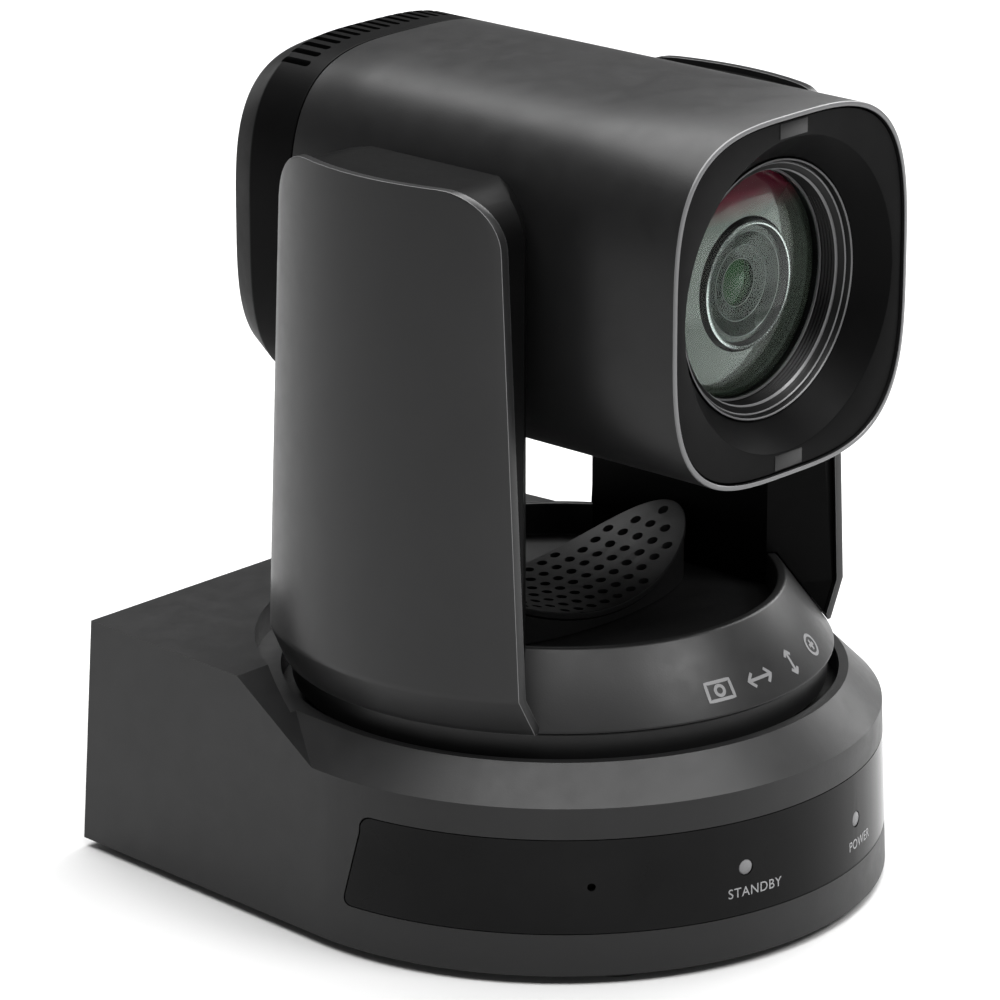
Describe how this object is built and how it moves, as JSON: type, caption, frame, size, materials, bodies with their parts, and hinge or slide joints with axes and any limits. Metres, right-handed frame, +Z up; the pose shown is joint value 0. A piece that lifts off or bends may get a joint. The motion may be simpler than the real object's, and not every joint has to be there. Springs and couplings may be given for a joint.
{
  "type": "ptz camera",
  "caption": "Desk or ceiling conference camera: a boxed lens head tilts between the arms of a yoke that pans on a round-fronted base.",
  "frame": {"origin": "middle of the footprint, on the surface that the feet stand on", "axes": "+Z up, -Y the way the lens looks, +Y the connector panel, +X to the right when looking at the lens side along +Y"},
  "size_m": [0.144, 0.1544, 0.1806],
  "materials": {
    "housing": "fine satin charcoal moulding",
    "satin_cover": "satin metallic grey paint",
    "black_plastic": "matt black moulding",
    "window_gloss": "polished infrared-clear black",
    "led_lens": "unlit milky light pipe",
    "foot_rubber": "matt",
    "steel": "plated",
    "brass": "turned",
    "board": "solder-masked circuit board",
    "gear_nylon": "natural acetal",
    "lens_glass": "coated optical glass"
  },
  "bodies": {
    "base": {"base_housing": "housing", "front_window": "window_gloss", "standby_led": "led_lens", "power_led": "led_lens", "ir_receiver": "black_plastic", "bottom_plate": "black_plastic", "tripod_insert": "brass", "bottom_screw_1": "steel", "bottom_screw_2": "steel", "bottom_screw_3": "steel", "bottom_screw_4": "steel", "foot_1": "foot_rubber", "foot_2": "foot_rubber", "foot_3": "foot_rubber", "foot_4": "foot_rubber", "main_board": "board", "main_processor": "black_plastic", "rear_panel": "black_plastic", "lan_port": "steel", "hdmi_port": "steel", "usb_port": "steel", "rs232_in": "black_plastic", "rs232_out": "black_plastic", "audio_in": "black_plastic", "dc_jack": "black_plastic", "video_connector": "steel", "pan_bearing": "steel", "pan_motor": "steel"},
    "pan_pinion": {"pan_pinion": "brass"},
    "yoke": {"turntable": "housing", "pedestal": "black_plastic", "grille": "housing", "pan_hub": "steel", "pan_gear": "gear_nylon", "arm_left": "housing", "arm_right": "housing", "arm_cover_left": "satin_cover", "arm_cover_right": "satin_cover", "tilt_bearing_left": "steel", "tilt_bearing_right": "steel", "tilt_motor": "steel", "arm_board": "board"},
    "tilt_pinion": {"tilt_pinion": "brass"},
    "head": {"head_shell": "housing", "rear_cap": "housing", "front_bezel": "black_plastic", "bezel_inlay_top": "housing", "bezel_inlay_bottom": "housing", "lens_ring": "steel", "lens_barrel": "black_plastic", "front_element": "lens_glass", "lens_baffle": "black_plastic", "second_element": "lens_glass", "iris": "black_plastic", "zoom_block": "black_plastic", "sensor_board": "board", "tilt_axle_left": "steel", "tilt_axle_right": "steel", "tilt_gear": "gear_nylon", "tilt_encoder": "steel"}
  },
  "joints": [
    {"name": "pan", "type": "hinge", "parent": "base", "child": "yoke", "pos_m": [0, -0.00515, 0.042], "axis": [0, 0, 1], "range_deg": [-170, 170]},
    {"name": "tilt", "type": "hinge", "parent": "yoke", "child": "head", "pos_m": [0, -0.00515, 0.1417], "axis": [-1, 0, 0], "range_deg": [-30, 90]},
    {"name": "pan_drive", "type": "hinge", "parent": "base", "child": "pan_pinion", "pos_m": [0, -0.04115, 0.042], "axis": [0, 0, 1], "range_deg": [-680, 680]},
    {"name": "tilt_drive", "type": "hinge", "parent": "yoke", "child": "tilt_pinion", "pos_m": [0, -0.00515, 0.1237], "axis": [-1, 0, 0], "range_deg": [-360, 120]}
  ],
  "couplings": [
    {"joint": "pan_drive", "follows": "pan", "ratio": -4},
    {"joint": "tilt_drive", "follows": "tilt", "ratio": -4}
  ]
}
